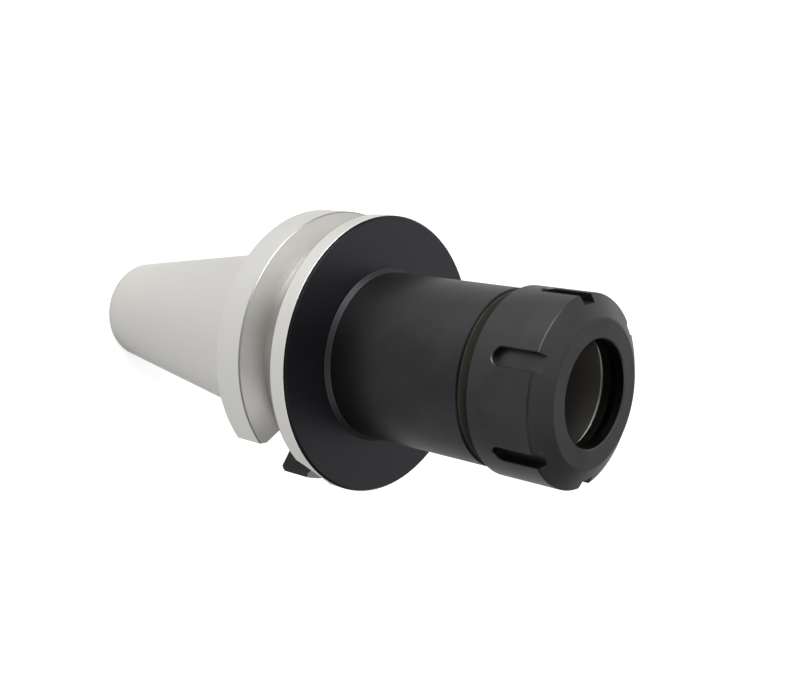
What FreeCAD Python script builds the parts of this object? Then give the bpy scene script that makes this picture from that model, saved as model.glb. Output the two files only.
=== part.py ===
# Collet chuck holder: steep-taper shank (7/24, size 50) with a flange for tool change,
# a cylindrical body, a threaded nose with an 8 degree collet seat, and a slotted
# clamping nut that traps an eccentric extraction ring.
#
# Frame: millimetres, +Z along the axis towards the nut, origin on the axis at the
# gauge plane of the taper. The part stands on the small end of the taper.
import FreeCAD, Part
import math
import os

from FreeCAD import Vector

# --- taper shank ---------------------------------------------------------------
gauge_dia = 69.85             # taper diameter at the gauge plane
taper_rate = 7.0 / 24.0       # diameter lost per millimetre of length
taper_length = 101.8          # gauge plane to small end
taper_end_chamfer = 1.0
relief_width = 2.0            # grinding relief between taper and flange
relief_depth = 0.9

# --- flange --------------------------------------------------------------------
flange_dia = 100.0
flange_rear = 3.0             # gauge plane to rear face
flange_front = 38.0           # gauge plane to front face
flange_rear_chamfer = 1.0
flange_front_chamfer = 0.8
groove_centre = 23.2          # gauge plane to middle of the V-groove
groove_width = 15.0           # at the outside diameter
groove_depth = 7.5            # below the outside diameter
groove_angle = 60.0           # between the two flanks
groove_edge_break = 0.3

# --- drive slots for the spindle keys --------------------------------------------
key_slot_width = 25.7
key_slot_floor = 35.4         # axis to slot floor
key_slot_length = 29.5        # rear face to the round end
key_slot_edge_break = 1.9
key_slot_count = 2

# --- body and threaded nose --------------------------------------------------------
body_dia = 60.0
body_length = 56.0            # flange front face to shoulder
body_root_break = 1.4
shoulder_chamfer = 0.8
nose_length = 21.5            # shoulder to nose face
thread_pitch_dia = 49.026     # the 50 x 1.5 thread is a plain cylinder at its pitch diameter
thread_runout_width = 3.0
thread_runout_dia = 46.8
nose_chamfer = 1.2

# --- collet seat and bores ---------------------------------------------------------
seat_mouth_dia = 41.0
seat_half_angle = 8.0
seat_depth = 38.0
seat_edge_chamfer = 0.5
shank_bore_dia = 29.0         # clearance for the cutter shank behind the collet
shank_bore_depth = 85.0       # nose face to bottom
coolant_bore_dia = 12.0
drill_point_angle = 118.0

# --- drawbar end ---------------------------------------------------------------------
pilot_dia = 25.0              # pilot of the pull stud
pilot_depth = 11.0
pilot_chamfer = 1.0
drawbar_thread_dia = 22.051   # the 24 x 3 thread is a plain hole at its pitch diameter
drawbar_thread_depth = 45.0   # small end to end of thread
drawbar_drill_dia = 21.0      # tapping size
drawbar_drill_depth = 62.0

# --- clamping nut ----------------------------------------------------------------------
nut_dia = 63.0
nut_length = 27.3
nut_face_dia = 48.2           # flat ring on the front
nut_front_angle = 30.0        # front chamfer, measured from the face
nut_edge_break = 0.3
nut_rear_chamfer = 0.6
nut_mouth_dia = 35.0
nut_mouth_land = 3.0
nut_mouth_chamfer = 0.4
nut_cone_half_angle = 30.0    # bears on the front cone of the collet
nut_thread_chamfer = 1.2
nut_slot_count = 6
nut_slot_width = 6.0
nut_slot_depth = 3.0
nut_slot_length = 19.9        # nut face to the round end
nut_slot_edge_break = 0.3
nut_clock_angle = 41.2        # first wrench slot, measured from the drive slot

# --- extraction ring ---------------------------------------------------------------------
ring_width = 2.9
ring_inner_dia = 37.6
ring_outer_dia = 44.8
ring_eccentricity = 0.5
ring_thick_side_angle = 112.0
ring_lip_thickness = 0.7      # nut lip behind the ring
ring_lip_overlap = 0.7        # radial hold of the lip on the ring

# --- running clearances --------------------------------------------------------------------
thread_clearance = 0.05       # radial, nose to nut
nut_seat_clearance = 0.1      # nut shoulder to nose face, nut screwed right down
ring_clearance = 0.12         # ring to its groove, all round

# --- places that follow from the sizes above --------------------------------------------------
small_end = -taper_length
shoulder = flange_front + body_length
nose_face = shoulder + nose_length
nut_shoulder = nose_face + nut_seat_clearance
ring_groove_rear = nut_shoulder + ring_lip_thickness
ring_groove_front = ring_groove_rear + ring_width + 2 * ring_clearance
ring_groove_radius = ring_outer_dia / 2 + ring_clearance
ring_lip_radius = ring_outer_dia / 2 - ring_lip_overlap
ring_bore_radius = ring_inner_dia / 2
nut_cone_rate = math.tan(math.radians(nut_cone_half_angle))
nut_cone_length = (ring_bore_radius + ring_eccentricity - nut_mouth_dia / 2) / nut_cone_rate
nut_front = ring_groove_front + nut_cone_length + nut_mouth_land
nut_rear = nut_front - nut_length


def taper_radius(z):
    return gauge_dia / 2 + z * taper_rate / 2


def turned(corners):
    # Solid of revolution about Z. A corner is (radius, height), or (radius, height,
    # chamfer), where the chamfer is cut off along both of its sides.
    points = [Vector(corner[0], 0, corner[1]) for corner in corners]
    outline = []
    for i, corner in enumerate(corners):
        here = points[i]
        if len(corner) == 2:
            outline.append(here)
            continue
        back = points[i - 1] - here
        ahead = points[(i + 1) % len(points)] - here
        chamfer = min(corner[2], 0.45 * back.Length, 0.45 * ahead.Length)
        outline.append(here + back.normalize() * chamfer)
        outline.append(here + ahead.normalize() * chamfer)
    face = Part.Face(Part.makePolygon(outline + outline[:1]))
    return face.revolve(Vector(0, 0, 0), Vector(0, 0, 1), 360)


def end_milled_slot(width, floor, rim_radius, edge_break, tip, mouth):
    # Cutter for a slot along Z on the +X side, with a flat floor, a half-round end
    # at height tip, an open end at height mouth and broken edges at the rim.
    half = width / 2
    rim_height = math.sqrt(rim_radius ** 2 - half ** 2)
    flare_from = rim_height - edge_break
    top = rim_radius + edge_break
    flared = half + top - flare_from
    towards_mouth = 1 if mouth > tip else -1
    centre = tip + towards_mouth * half
    section = [(floor, -half), (flare_from, -half), (top, -flared),
               (top, flared), (flare_from, half), (floor, half)]
    corners = [Vector(x, y, centre) for x, y in section]
    run = Part.Face(Part.makePolygon(corners + corners[:1])).extrude(Vector(0, 0, mouth - centre))
    profile = [(floor, 0), (floor, half), (flare_from, half), (top, flared), (top, 0)]
    corners = [Vector(x, y, centre) for x, y in profile]
    end = Part.Face(Part.makePolygon(corners + corners[:1]))
    end = end.revolve(Vector(0, 0, centre), Vector(1, 0, 0), 360)
    return run.fuse(end)


def around(shape, count, first_angle=0.0):
    copies = []
    for i in range(count):
        copy = shape.copy()
        copy.rotate(Vector(0, 0, 0), Vector(0, 0, 1), first_angle + i * 360.0 / count)
        copies.append(copy)
    return copies


def drill_point(radius):
    return radius / math.tan(math.radians(drill_point_angle / 2))


def holder_outside():
    gauge_radius = gauge_dia / 2
    flange_radius = flange_dia / 2
    root_radius = flange_radius - groove_depth
    body_radius = body_dia / 2
    thread_radius = thread_pitch_dia / 2
    runout_radius = thread_runout_dia / 2
    flank = groove_depth * math.tan(math.radians(groove_angle / 2))
    groove_rear = groove_centre - groove_width / 2
    groove_front = groove_centre + groove_width / 2
    relief_rear = flange_rear - relief_width
    return turned([
        (0, small_end),
        (taper_radius(small_end), small_end, taper_end_chamfer),
        (taper_radius(relief_rear), relief_rear),
        (gauge_radius - relief_depth, relief_rear),
        (gauge_radius - relief_depth, flange_rear),
        (flange_radius, flange_rear, flange_rear_chamfer),
        (flange_radius, groove_rear, groove_edge_break),
        (root_radius, groove_rear + flank),
        (root_radius, groove_front - flank),
        (flange_radius, groove_front, groove_edge_break),
        (flange_radius, flange_front, flange_front_chamfer),
        (body_radius, flange_front, body_root_break),
        (body_radius, shoulder, shoulder_chamfer),
        (runout_radius, shoulder),
        (runout_radius, shoulder + thread_runout_width),
        (thread_radius, shoulder + thread_runout_width + thread_radius - runout_radius),
        (thread_radius, nose_face, nose_chamfer),
        (0, nose_face)])


def holder_inside():
    # One stepped bore, from the drawbar end to the collet seat.
    pilot_radius = pilot_dia / 2
    thread_radius = drawbar_thread_dia / 2
    drill_radius = drawbar_drill_dia / 2
    coolant_radius = coolant_bore_dia / 2
    shank_radius = shank_bore_dia / 2
    seat_radius = seat_mouth_dia / 2
    pilot_end = small_end + pilot_depth
    thread_end = small_end + drawbar_thread_depth
    drill_end = small_end + drawbar_drill_depth
    shank_bottom = nose_face - shank_bore_depth
    seat_bottom = nose_face - seat_depth
    seat_end_radius = seat_radius - seat_depth * math.tan(math.radians(seat_half_angle))
    return turned([
        (0, small_end),
        (pilot_radius + pilot_chamfer, small_end),
        (pilot_radius, small_end + pilot_chamfer),
        (pilot_radius, pilot_end),
        (thread_radius, pilot_end + pilot_radius - thread_radius),
        (thread_radius, thread_end),
        (drill_radius, thread_end + thread_radius - drill_radius),
        (drill_radius, drill_end),
        (coolant_radius, drill_end + drill_point(drill_radius) - drill_point(coolant_radius)),
        (coolant_radius, shank_bottom - drill_point(shank_radius) + drill_point(coolant_radius)),
        (shank_radius, shank_bottom),
        (shank_radius, seat_bottom),
        (seat_end_radius, seat_bottom),
        (seat_radius, nose_face - seat_edge_chamfer),
        (seat_radius + seat_edge_chamfer, nose_face),
        (0, nose_face)])


def holder_body():
    drive_slot = end_milled_slot(key_slot_width, key_slot_floor, flange_dia / 2, key_slot_edge_break,
                                 flange_rear + key_slot_length, flange_rear - key_slot_width)
    return holder_outside().cut([holder_inside()] + around(drive_slot, key_slot_count))


def clamping_nut():
    nut_radius = nut_dia / 2
    face_radius = nut_face_dia / 2
    mouth_radius = nut_mouth_dia / 2
    bore_radius = thread_pitch_dia / 2 + thread_clearance
    front_drop = (nut_radius - face_radius) * math.tan(math.radians(nut_front_angle))
    cone_radius = mouth_radius + nut_cone_length * nut_cone_rate
    blank = turned([
        (bore_radius + nut_thread_chamfer, nut_rear),
        (nut_radius, nut_rear, nut_rear_chamfer),
        (nut_radius, nut_front - front_drop, nut_edge_break),
        (face_radius, nut_front, nut_edge_break),
        (mouth_radius, nut_front, nut_mouth_chamfer),
        (mouth_radius, nut_front - nut_mouth_land),
        (cone_radius, ring_groove_front),
        (ring_groove_radius, ring_groove_front),
        (ring_groove_radius, ring_groove_rear),
        (ring_lip_radius, ring_groove_rear),
        (ring_lip_radius, nut_shoulder),
        (bore_radius, nut_shoulder),
        (bore_radius, nut_rear + nut_thread_chamfer)])
    wrench_slot = end_milled_slot(nut_slot_width, nut_radius - nut_slot_depth, nut_radius,
                                  nut_slot_edge_break, nut_front - nut_slot_length,
                                  nut_front + nut_slot_width)
    return blank.cut(around(wrench_slot, nut_slot_count, nut_clock_angle))


def extraction_ring():
    rear = Vector(0, 0, ring_groove_rear + ring_clearance)
    thick_side = math.radians(ring_thick_side_angle)
    bore_centre = rear - Vector(math.cos(thick_side), math.sin(thick_side), 0) * ring_eccentricity
    ring = Part.makeCylinder(ring_outer_dia / 2, ring_width, rear)
    return ring.cut(Part.makeCylinder(ring_bore_radius, ring_width, bore_centre))


os.makedirs("parts", exist_ok=True)
for name, make in (("holder_body", holder_body),
                   ("clamping_nut", clamping_nut),
                   ("extraction_ring", extraction_ring)):
    shape = make()
    shape.exportStep("parts/" + name + ".step")
    print(name, "valid", shape.isValid(), "solids", len(shape.Solids), "volume", round(shape.Volume, 1),
          "z", round(shape.BoundBox.ZMin, 3), round(shape.BoundBox.ZMax, 3))
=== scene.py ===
import bpy
import math
from mathutils import Matrix, Vector


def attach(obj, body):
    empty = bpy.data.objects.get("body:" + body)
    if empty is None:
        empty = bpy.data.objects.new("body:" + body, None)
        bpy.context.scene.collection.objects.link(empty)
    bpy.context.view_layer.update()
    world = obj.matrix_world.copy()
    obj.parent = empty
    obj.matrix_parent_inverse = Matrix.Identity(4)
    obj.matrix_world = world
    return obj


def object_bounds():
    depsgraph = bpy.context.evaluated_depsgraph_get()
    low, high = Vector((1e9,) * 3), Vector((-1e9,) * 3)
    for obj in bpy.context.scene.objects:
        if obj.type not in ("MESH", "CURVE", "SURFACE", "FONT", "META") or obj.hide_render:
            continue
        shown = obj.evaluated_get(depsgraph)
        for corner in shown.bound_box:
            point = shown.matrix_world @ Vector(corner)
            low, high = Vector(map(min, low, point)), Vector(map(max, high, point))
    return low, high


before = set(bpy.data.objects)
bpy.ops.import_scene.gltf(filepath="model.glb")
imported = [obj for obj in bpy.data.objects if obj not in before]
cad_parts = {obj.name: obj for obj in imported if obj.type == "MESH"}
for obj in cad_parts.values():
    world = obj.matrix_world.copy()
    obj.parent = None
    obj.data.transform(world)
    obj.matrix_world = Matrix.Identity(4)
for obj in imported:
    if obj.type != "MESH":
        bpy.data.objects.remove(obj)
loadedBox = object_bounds()
scene = bpy.context.scene
mm = 0.001


# camera: in front of the nut and above it, rolled so that the axis runs across the view
# all lengths in the dictionaries are in millimetres
cameraSet = {
    "place": (-119.7, 290.2, 305.4),
    "towards": (13.5, -13.3, 31.5),
    "upwards": (0.8585, 0.4956, -0.1318),
    "lens": 50.76,
    "sensor": 36.0,
    "nearest": 10.0,
    "farthest": 50000.0,
}


def makeCamera(given):
    data = bpy.data.cameras.new("camera")
    data.lens = given["lens"]
    data.sensor_width = given["sensor"]
    data.clip_start = given["nearest"] * mm
    data.clip_end = given["farthest"] * mm
    camera = bpy.data.objects.new("camera", data)
    scene.collection.objects.link(camera)
    place = Vector(given["place"]) * mm
    back = (place - Vector(given["towards"]) * mm).normalized()
    right = Vector(given["upwards"]).cross(back).normalized()
    turn = Matrix((right, back.cross(right), back)).transposed()
    camera.matrix_world = Matrix.Translation(place) @ turn.to_4x4()
    scene.camera = camera


makeCamera(cameraSet)
print("camera set")


# materials
def hexColour(text):
    # sRGB hex to linear, by the curve of the sRGB standard
    parts = [int(text[i:i + 2], 16) / 255 for i in (0, 2, 4)]
    linear = [p / 12.92 if p <= 0.04045 else ((p + 0.055) / 1.055) ** 2.4 for p in parts]
    return (*linear, 1.0)


def addNode(tree, kind, settings=None, inputs=None):
    # each input, by name or place, takes a number, a colour or another node's output
    node = tree.nodes.new("ShaderNode" + kind)
    for name, value in (settings or {}).items():
        setattr(node, name, value)
    for name, source in (inputs or {}).items():
        if isinstance(source, bpy.types.NodeSocket):
            tree.links.new(source, node.inputs[name])
        else:
            node.inputs[name].default_value = source
    return node.outputs


def startMaterial(name):
    material = bpy.data.materials.new(name)
    material.use_nodes = True
    material.node_tree.nodes.clear()
    return material, material.node_tree


def places(tree):
    # millimetres along the axis, across it and out from it
    point = addNode(tree, "TexCoord")["Object"]
    scaled = addNode(tree, "VectorMath", {"operation": "SCALE"}, {0: point, "Scale": 1 / mm})[0]
    parts = addNode(tree, "SeparateXYZ", None, {0: scaled})
    flat = addNode(tree, "VectorMath", {"operation": "MULTIPLY"}, {0: scaled, 1: (1, 1, 0)})[0]
    radius = addNode(tree, "VectorMath", {"operation": "LENGTH"}, {0: flat})["Value"]
    profile = addNode(tree, "CombineXYZ", None, {"X": radius, "Z": parts["Z"]})[0]
    return {
        "point": point, "x": parts["X"], "y": parts["Y"], "z": parts["Z"],
        "radius": radius, "profile": profile,
    }


def zone(tree, at, spans, soft):
    # 1 where each measure is in its span of low and high, falling to 0 over the soft width
    edges = []
    for measure, (low, high) in spans.items():
        if low is not None:
            edges.append((measure, low - soft, low, 0.0, 1.0))
        if high is not None:
            edges.append((measure, high, high + soft, 1.0, 0.0))
    mask = 1.0
    for measure, start, end, before, after in edges:
        edge = addNode(tree, "MapRange", {"interpolation_type": "SMOOTHSTEP"},
                       {"Value": at[measure], "From Min": start, "From Max": end,
                        "To Min": before, "To Max": after})[0]
        mask = addNode(tree, "Math", {"operation": "MULTIPLY"}, {0: mask, 1: edge})[0]
    return mask


def nearCircle(tree, at, radius, height, width):
    # 1 on the circle of that radius and height about the axis, 0 from width away
    core = 0.3
    away = addNode(tree, "VectorMath", {"operation": "DISTANCE"},
                   {0: at["profile"], 1: (radius, 0, height)})["Value"]
    return addNode(tree, "MapRange", {"interpolation_type": "SMOOTHSTEP"},
                   {"Value": away, "From Min": core * width, "From Max": width,
                    "To Min": 1.0, "To Max": 0.0})[0]


def twoShades(tree, pattern, low, high, shades):
    # from the first shade to the second as the pattern goes from low to high
    share = addNode(tree, "MapRange", {"interpolation_type": "SMOOTHSTEP"},
                    {"Value": pattern, "From Min": low, "From Max": high})[0]
    first, second = [hexColour(shade) for shade in shades]
    return addNode(tree, "Mix", {"data_type": "RGBA"}, {0: share, 6: first, 7: second})[2]


def layered(tree, colour, layers):
    # each layer's colour covers the ones before it where its mask is 1
    for mask, shade in layers:
        cover = shade if isinstance(shade, bpy.types.NodeSocket) else hexColour(shade)
        colour = addNode(tree, "Mix", {"data_type": "RGBA"}, {0: mask, 6: colour, 7: cover})[2]
    return colour


def toolLines(tree, at, pitch, wander):
    # lines left round the part by a tool or wheel: they change along the profile only,
    # with a little wander so that they don't look ruled
    driftSize = 33.3
    drift = addNode(tree, "TexNoise", None,
                    {"Vector": at["point"], "Scale": 1 / (driftSize * mm), "Detail": 2.0})[0]
    along = addNode(tree, "Math", {"operation": "ADD"}, {0: at["z"], 1: at["radius"]})[0]
    along = addNode(tree, "Math", {"operation": "MULTIPLY_ADD"}, {0: drift, 1: wander, 2: along})[0]
    turns = addNode(tree, "Math", {"operation": "DIVIDE"}, {0: along, 1: pitch})[0]
    return addNode(tree, "TexNoise", {"noise_dimensions": "1D"},
                   {"W": turns, "Scale": 1.0, "Detail": 3.0, "Roughness": 0.6})[0]


def finishSteel(tree, colour, rough, lines, given):
    bump = addNode(tree, "Bump", None, {
        "Height": lines, "Strength": given["lineStrength"], "Distance": given["lineDepth"] * mm,
    })[0]
    shader = addNode(tree, "BsdfPrincipled", None, {
        "Base Color": colour, "Metallic": 1.0, "Roughness": rough, "Normal": bump,
    })[0]
    addNode(tree, "OutputMaterial", None, {"Surface": shader})


# holder: ground taper and rims, black oxide on what is only turned or milled
# a zone is spans of its measures and a soft width; a circle is radius, height and width
holderSet = {
    "ground": ("DAD9D5", "D3D2CE"),
    "groundRough": (0.33, 0.42),
    "groundLines": (0.35, 0.6),        # pitch and wander, drawn coarser than real grinding
    "groundContrast": (0.3, 0.75),
    "turned": ("ABA9A5", "A19F9B"),
    "oxide": ("3B3B3C", "343435"),
    "oxideRough": (0.38, 0.43),
    "turnedLines": (0.25, 0.1),        # the pitch is the feed of the turning tool
    "lineStrength": 0.06,
    "lineDepth": 0.04,
    "cloudSize": 22.2,
    "cloudContrast": (0.35, 0.7),
    "oxideFront": ({"z": (37.3, None)}, 0.05),
    "oxideRear": ({"z": (0.95, 3.05)}, 0.05),
    "slotEndHeight": 19.65,
    "slotFlareFrom": 46.42,
    "slotWalls": ({"fromSlot": (None, 12.91), "outwards": (35.3, None), "z": (3.2, None)}, 0.08),
    # the seat in the bore is painted darker than the ground steel: painted shade inside the bore
    "seatZone": ({"radius": (None, 21.1), "z": (0.1, None)}, 0.1),
    "seat": "8D8B86",
    # a painted highlight round the mouth of the seat
    "seatEdgeCircle": (20.75, 115.25, 0.7),
    "seatEdgeHighlight": "E0E0DC",
    "grooveZone": ({"z": (15.6, 30.8), "radius": (None, 49.75)}, 0.15),
    # painted shade on the edges of the V-groove
    "grooveEdgeCircles": ((49.9, 15.6, 0.6), (49.9, 30.8, 0.6)),
    "grooveEdgePaintedShade": "86857F",
    "faceZone": ({"z": (37.97, 38.05), "radius": (31.7, None)}, 0.03),
    "face": "3B3B3F",
    # painted shade in the corner where the body meets the flange face
    "rootPaintedShadeCircle": (30.7, 38.7, 1.3),
    "root": "2B2B2E",
    # painted shade on the front edges of the flange and of the body
    "flangeEdgeCircle": (49.6, 37.6, 0.9),
    "bodyEdgeCircle": (29.6, 93.6, 0.8),
    "edge": "171718",
    # the shoulder and undercut in front of the nut are painted pale olive: painted light in the
    # shaded recess, with a rougher finish
    "recessZone": ({"z": (93.97, 97.3)}, 0.02),
    "recessPaintedLight": "66645B",
    "recessRough": 0.7,
}


def fromDriveSlot(tree, at, given):
    # adds how far out a point is, and how far it is from the middle plane of its drive slot,
    # less the flare and measured round the slot's end
    outwards = addNode(tree, "Math", {"operation": "ABSOLUTE"}, {0: at["x"]})[0]
    over = []
    for measure, start in ((at["z"], given["slotEndHeight"]), (outwards, given["slotFlareFrom"])):
        past = addNode(tree, "Math", {"operation": "SUBTRACT"}, {0: measure, 1: start})[0]
        over.append(addNode(tree, "Math", {"operation": "MAXIMUM"}, {0: past, 1: 0.0})[0])
    pastEnd, flare = over
    across = addNode(tree, "CombineXYZ", None, {"Y": at["y"], "Z": pastEnd})[0]
    away = addNode(tree, "VectorMath", {"operation": "LENGTH"}, {0: across})["Value"]
    away = addNode(tree, "Math", {"operation": "SUBTRACT"}, {0: away, 1: flare})[0]
    return {**at, "outwards": outwards, "fromSlot": away}


def caseHardenedSteel(given):
    # case-hardened steel: the ground zones are silky and pale with faint lines round the
    # axis, the turned groove is a little duller, the black oxide dark and satin
    material, tree = startMaterial("caseHardenedSteelGroundAndBlackOxide")
    at = fromDriveSlot(tree, places(tree), given)
    clouds = addNode(tree, "TexNoise", None, {
        "Vector": at["point"], "Scale": 1 / (given["cloudSize"] * mm),
        "Detail": 4.0, "Roughness": 0.55,
    })[0]
    groundLines = toolLines(tree, at, *given["groundLines"])
    turnedLines = toolLines(tree, at, *given["turnedLines"])

    seat = zone(tree, at, *given["seatZone"])
    black = zone(tree, at, *given["oxideFront"])
    for name in ("slotWalls", "oxideRear"):
        more = zone(tree, at, *given[name])
        black = addNode(tree, "Math", {"operation": "MAXIMUM"}, {0: black, 1: more})[0]
    notSeat = addNode(tree, "Math", {"operation": "SUBTRACT"}, {0: 1.0, 1: seat})[0]
    black = addNode(tree, "Math", {"operation": "MULTIPLY"}, {0: black, 1: notSeat})[0]

    ground = twoShades(tree, groundLines, *given["groundContrast"], given["ground"])
    turned = twoShades(tree, clouds, *given["cloudContrast"], given["turned"])
    ground = layered(tree, ground, [
        (zone(tree, at, *given["grooveZone"]), turned),
        # painted shade on the groove's edges
        *((nearCircle(tree, at, *circle), given["grooveEdgePaintedShade"])
          for circle in given["grooveEdgeCircles"]),
        # painted shade in the seat
        (seat, given["seat"]),
        # painted highlight on the seat's mouth
        (nearCircle(tree, at, *given["seatEdgeCircle"]), given["seatEdgeHighlight"]),
    ])
    # the recess before the nut, where light is painted
    recessPaintedLight = zone(tree, at, *given["recessZone"])
    oxide = twoShades(tree, clouds, *given["cloudContrast"], given["oxide"])
    oxide = layered(tree, oxide, [
        (zone(tree, at, *given["faceZone"]), given["face"]),
        # painted shade in the root corner
        (nearCircle(tree, at, *given["rootPaintedShadeCircle"]), given["root"]),
        # painted shade on the front edges of the flange and the body
        (nearCircle(tree, at, *given["flangeEdgeCircle"]), given["edge"]),
        (nearCircle(tree, at, *given["bodyEdgeCircle"]), given["edge"]),
        # painted light in the recess before the nut
        (recessPaintedLight, given["recessPaintedLight"]),
    ])
    colour = layered(tree, ground, [(black, oxide)])

    roughs = []
    for low, high in (given["groundRough"], given["oxideRough"]):
        roughs.append(addNode(tree, "MapRange", None,
                              {"Value": clouds, "To Min": low, "To Max": high})[0])
    oxideRough = addNode(tree, "Mix", None, {0: recessPaintedLight, 2: roughs[1], 3: given["recessRough"]})[0]
    rough = addNode(tree, "Mix", None, {0: black, 2: roughs[0], 3: oxideRough})[0]
    lines = addNode(tree, "Mix", None, {0: black, 2: groundLines, 3: turnedLines})[0]
    finishSteel(tree, colour, rough, lines, given)
    return material


# clamping nut: black oxide all over, with painted shade on the edge of the front chamfer and inside
# the bore
nutSet = {
    "oxide": ("403F3F", "393838"),
    "rough": (0.32, 0.44),
    "lines": (0.3, 0.1),               # pitch and wander; the pitch is the tool's feed
    "lineStrength": 0.12,
    "lineDepth": 0.04,
    "cloudSize": 16.7,
    "cloudContrast": (0.35, 0.7),
    # painted shade on the edge of the front chamfer
    "edges": (((31.5, 121.3, 0.6), "2C2C2E"),),
    # painted shade inside the nut's bore and collet cone
    "zones": ((({"radius": (None, 24.0), "z": (None, 125.1)}, 0.2), "2A2927"),),
}

# extraction ring: spring steel, a little browner
ringSet = {
    "oxide": ("464543", "3A3937"),
    "rough": (0.32, 0.44),
    "lines": (0.2, 0.1),
    "lineStrength": 0.12,
    "lineDepth": 0.04,
    "cloudSize": 16.7,
    "cloudContrast": (0.35, 0.7),
    "edges": (),
    "zones": (),
}


def blackOxideSteel(name, given):
    # black oxide on turned steel: dark and satin, with fine lines round the axis
    material, tree = startMaterial(name)
    at = places(tree)
    clouds = addNode(tree, "TexNoise", None, {
        "Vector": at["point"], "Scale": 1 / (given["cloudSize"] * mm),
        "Detail": 4.0, "Roughness": 0.55,
    })[0]
    colour = twoShades(tree, clouds, *given["cloudContrast"], given["oxide"])
    colour = layered(tree, colour, [
        # painted shade on the given edges and in the given zones
        *((nearCircle(tree, at, *circle), shade) for circle, shade in given["edges"]),
        *((zone(tree, at, *where), shade) for where, shade in given["zones"]),
    ])
    low, high = given["rough"]
    rough = addNode(tree, "MapRange", None, {"Value": clouds, "To Min": low, "To Max": high})[0]
    finishSteel(tree, colour, rough, toolLines(tree, at, *given["lines"]), given)
    return material


def dress(node, material):
    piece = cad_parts[node]
    piece.data.materials.clear()
    piece.data.materials.append(material)


holderSteel = caseHardenedSteel(holderSet)
nutSteel = blackOxideSteel("turnedSteelBlackOxide", nutSet)
ringSteel = blackOxideSteel("springSteelBlackOxide", ringSet)
dress("holder_body", holderSteel)
dress("clamping_nut", nutSteel)
dress("extraction_ring", ringSteel)
print("materials on the frame's pieces")


# ridges of the 50 x 1.5 thread, on the nose and in the nut's bore
threadSet = {
    "pitch": 1.5,
    "footShare": 0.46,         # half the ridge's foot, as a share of the pitch
    "crestShare": 0.07,        # half its crest
    "steps": 96,
    "endCorners": 6,           # no hole with more corners is closed
    "weld": 0.001,
    "smoothBelow": 35.0,       # degrees
}


def helicalRidge(name, given, ridge, material):
    # one flank-to-flank profile, screwed round the axis and closed at both ends
    pitch = given["pitch"]
    foot = given["footShare"] * pitch
    crest = given["crestShare"] * pitch
    start = ridge["lowest"] + foot
    bpy.ops.mesh.primitive_plane_add(size=1.0, location=(0, 0, 0))
    piece = bpy.context.object
    piece.name = name
    # a plane's corners come row by row, not round it
    corners = [(ridge["root"], -foot), (ridge["crest"], -crest),
               (ridge["root"], foot), (ridge["crest"], crest)]
    for vertex, (radius, height) in zip(piece.data.vertices, corners):
        vertex.co = Vector((radius, 0, start + height)) * mm
    screw = piece.modifiers.new("screw", "SCREW")
    screw.axis = "Z"
    screw.angle = math.tau
    screw.screw_offset = pitch * mm
    screw.iterations = int((ridge["highest"] - ridge["lowest"] - 2 * foot) / pitch)
    screw.steps = given["steps"]
    screw.render_steps = given["steps"]
    screw.use_merge_vertices = True
    screw.merge_threshold = given["weld"] * mm
    bpy.ops.object.modifier_apply(modifier=screw.name)
    bpy.ops.object.mode_set(mode="EDIT")
    bpy.ops.mesh.select_all(action="SELECT")
    bpy.ops.mesh.remove_doubles(threshold=given["weld"] * mm)
    bpy.ops.mesh.fill_holes(sides=given["endCorners"])
    bpy.ops.mesh.normals_make_consistent(inside=False)
    bpy.ops.object.mode_set(mode="OBJECT")
    bpy.ops.object.shade_smooth_by_angle(angle=math.radians(given["smoothBelow"]))
    piece.data.materials.append(material)
    return piece


# the root is a little under the nose's surface, at a radius of 24.513
noseThreadSet = {"root": 24.40, "crest": 24.97, "lowest": 98.4, "highest": 114.2}
noseThread = helicalRidge("noseThread", threadSet, noseThreadSet, holderSteel)
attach(noseThread, "holder")

# the root is a little behind the nut's bore, at a radius of 24.563
nutThreadSet = {"root": 24.66, "crest": 24.12, "lowest": 99.9, "highest": 115.3}
nutThread = helicalRidge("nutThread", threadSet, nutThreadSet, nutSteel)
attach(nutThread, "nut")
print("threads made")


# pale floor, and a studio that is brighter on one side
stageSet = {
    "floorSize": 8000.0,
    "floorColour": "CACACA",
    "floorRough": 0.9,
    "floorLift": 0.58,                 # light that only the camera sees
    "worldFrom": (0.86, 0.50, -0.13),  # the brighter side
    "worldRange": (0.35, 1.45),
    "worldSeen": 1.0,
    "white": (1, 1, 1, 1),
    "lamps": [
        {"name": "lampAbove", "from": (0.53, 0.75, 0.21), "far": 1100, "size": 1000, "power": 20.0},
        {"name": "lampSide", "from": (-0.75, 0.10, 0.65), "far": 1300, "size": 900, "power": 3.5},
    ],
}


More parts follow.
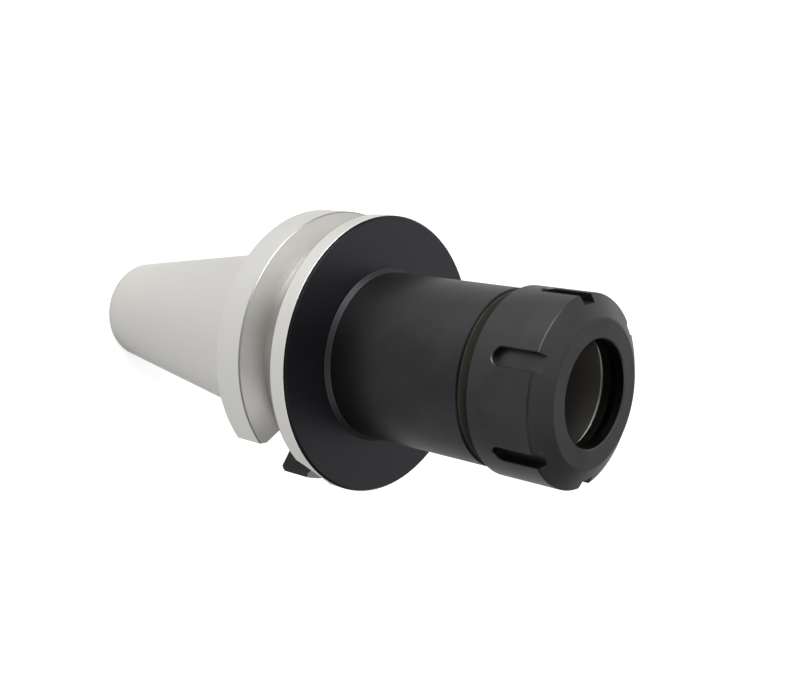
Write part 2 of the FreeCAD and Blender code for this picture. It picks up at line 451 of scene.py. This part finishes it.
def makeFloor(given):
    bpy.ops.mesh.primitive_plane_add(size=given["floorSize"] * mm, location=(0, 0, loadedBox[0].z))
    floor = bpy.context.object
    floor.name = "floor"
    material, tree = startMaterial("paleFloor")
    paint = addNode(tree, "BsdfPrincipled", None, {
        "Base Color": hexColour(given["floorColour"]), "Roughness": given["floorRough"],
    })[0]
    seen = addNode(tree, "LightPath")["Is Camera Ray"]
    lift = addNode(tree, "Math", {"operation": "MULTIPLY"}, {0: seen, 1: given["floorLift"]})[0]
    glow = addNode(tree, "Emission", None, {"Color": given["white"], "Strength": lift})[0]
    both = addNode(tree, "AddShader", None, {0: paint, 1: glow})[0]
    addNode(tree, "OutputMaterial", None, {"Surface": both})
    floor.data.materials.append(material)


def makeWorld(given):
    world = bpy.data.worlds.new("paleStudio")
    world.use_nodes = True
    tree = world.node_tree
    tree.nodes.clear()
    way = addNode(tree, "TexCoord")["Generated"]
    along = addNode(tree, "VectorMath", {"operation": "DOT_PRODUCT"},
                    {0: way, 1: given["worldFrom"]})["Value"]
    weak, strong = given["worldRange"]
    lit = addNode(tree, "MapRange", {"interpolation_type": "SMOOTHSTEP"},
                  {"Value": along, "From Min": -1.0, "From Max": 1.0,
                   "To Min": weak, "To Max": strong})[0]
    # the camera sees it plain
    seen = addNode(tree, "LightPath")["Is Camera Ray"]
    strength = addNode(tree, "Mix", None, {0: seen, 2: lit, 3: given["worldSeen"]})[0]
    sky = addNode(tree, "Background", None, {"Color": given["white"], "Strength": strength})[0]
    addNode(tree, "OutputWorld", None, {"Surface": sky})
    scene.world = world


def makeLamps(given):
    middle = (loadedBox[0] + loadedBox[1]) / 2
    for lamp in given["lamps"]:
        data = bpy.data.lights.new(lamp["name"], "AREA")
        data.shape = "SQUARE"
        data.size = lamp["size"] * mm
        data.energy = lamp["power"]
        light = bpy.data.objects.new(lamp["name"], data)
        scene.collection.objects.link(light)
        away = Vector(lamp["from"]).normalized()
        light.location = middle + away * lamp["far"] * mm
        light.rotation_euler = away.to_track_quat("Z", "Y").to_euler()


makeFloor(stageSet)
makeWorld(stageSet)
makeLamps(stageSet)
scene.view_settings.view_transform = "Standard"
print("stage set")
